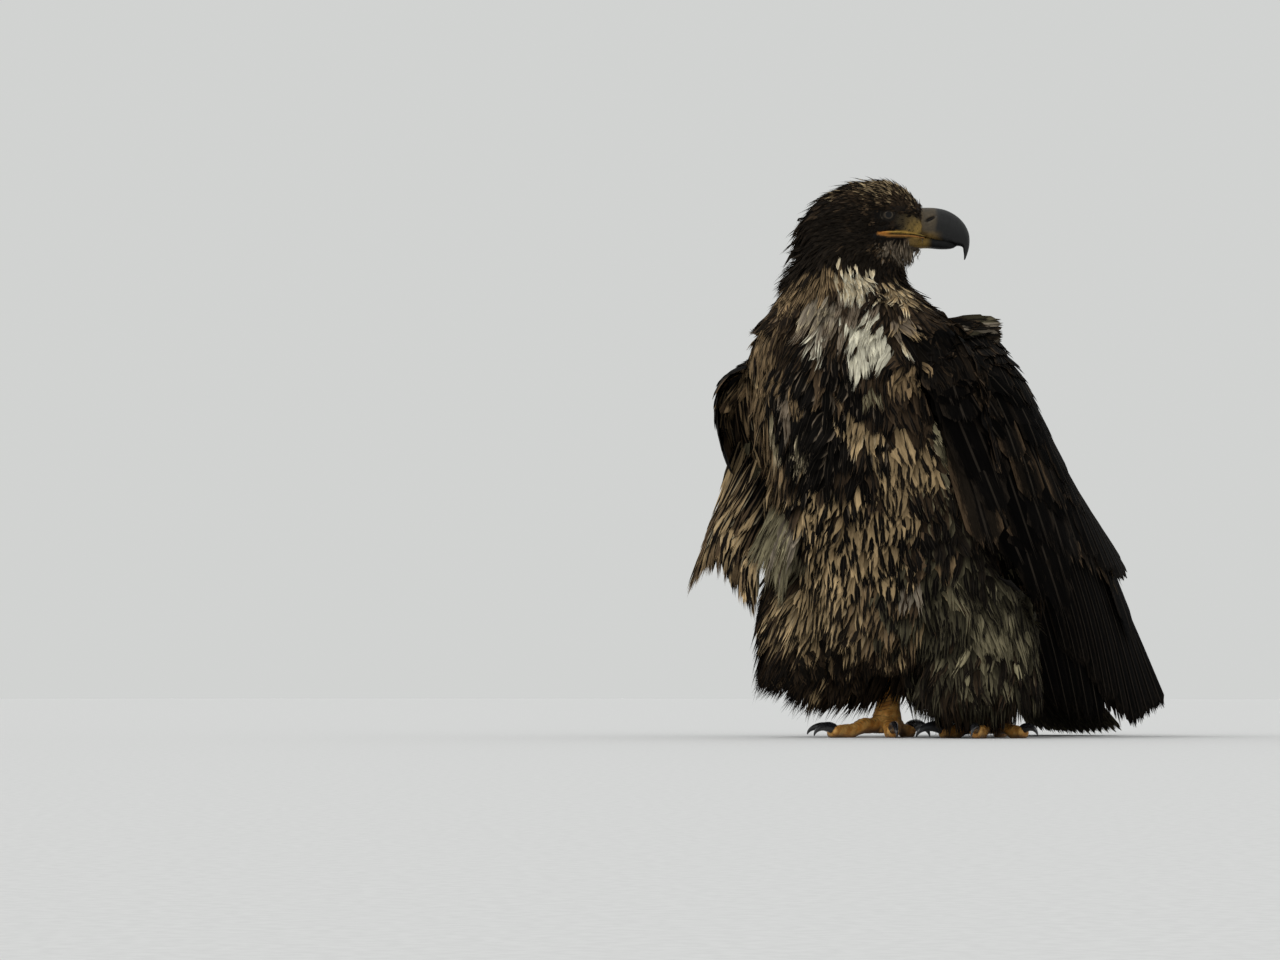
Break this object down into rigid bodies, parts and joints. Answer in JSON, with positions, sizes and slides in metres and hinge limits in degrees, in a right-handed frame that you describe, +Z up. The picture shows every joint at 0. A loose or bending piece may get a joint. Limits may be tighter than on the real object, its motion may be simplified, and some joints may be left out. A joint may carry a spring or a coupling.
{
  "type": "bald eagle",
  "caption": "Still life-size immature bald eagle standing ruffled with drooped wings, head turned over its left shoulder, hooked bill and clawed feet.",
  "frame": {"origin": "on the floor under the middle of the whole bird's box", "axes": "+Z up, the breast faces -Y, the bird's left side is at +X; the head is turned to the left, so the bill points to +X and +Y"},
  "size_m": [0.3354, 0.4686, 0.52],
  "materials": {
    "dark_plumage": "soft dark brown feathers",
    "mottled_plumage": "soft mottled buff and brown feathers",
    "flight_feathers": "smooth blackish brown flight feathers",
    "bill": "satin slate horn",
    "bill_edge": "satin yellowish horn",
    "foot_skin": "scaly yellow orange skin",
    "claw": "glossy black horn",
    "eye": "wet brown eye"
  },
  "bodies": {
    "root": {"head": "dark_plumage", "bill_upper": "bill", "bill_lower": "bill_edge", "eye_left": "eye", "eye_right": "eye", "neck": "dark_plumage", "trunk": "mottled_plumage", "wing_left": "dark_plumage", "primaries_left": "flight_feathers", "secondaries_left": "flight_feathers", "tertials_left": "flight_feathers", "wing_right": "dark_plumage", "primaries_right": "flight_feathers", "secondaries_right": "flight_feathers", "tertials_right": "flight_feathers", "tail": "flight_feathers", "flank_right": "mottled_plumage", "scapulars_left": "dark_plumage", "thigh_left": "mottled_plumage", "shank_left": "foot_skin", "toe_left_1": "foot_skin", "claw_left_1": "claw", "toe_left_2": "foot_skin", "claw_left_2": "claw", "toe_left_3": "foot_skin", "claw_left_3": "claw", "toe_left_4": "foot_skin", "claw_left_4": "claw", "thigh_right": "mottled_plumage", "shank_right": "foot_skin", "toe_right_1": "foot_skin", "claw_right_1": "claw", "toe_right_2": "foot_skin", "claw_right_2": "claw", "toe_right_3": "foot_skin", "claw_right_3": "claw", "toe_right_4": "foot_skin", "claw_right_4": "claw"}
  },
  "joints": []
}
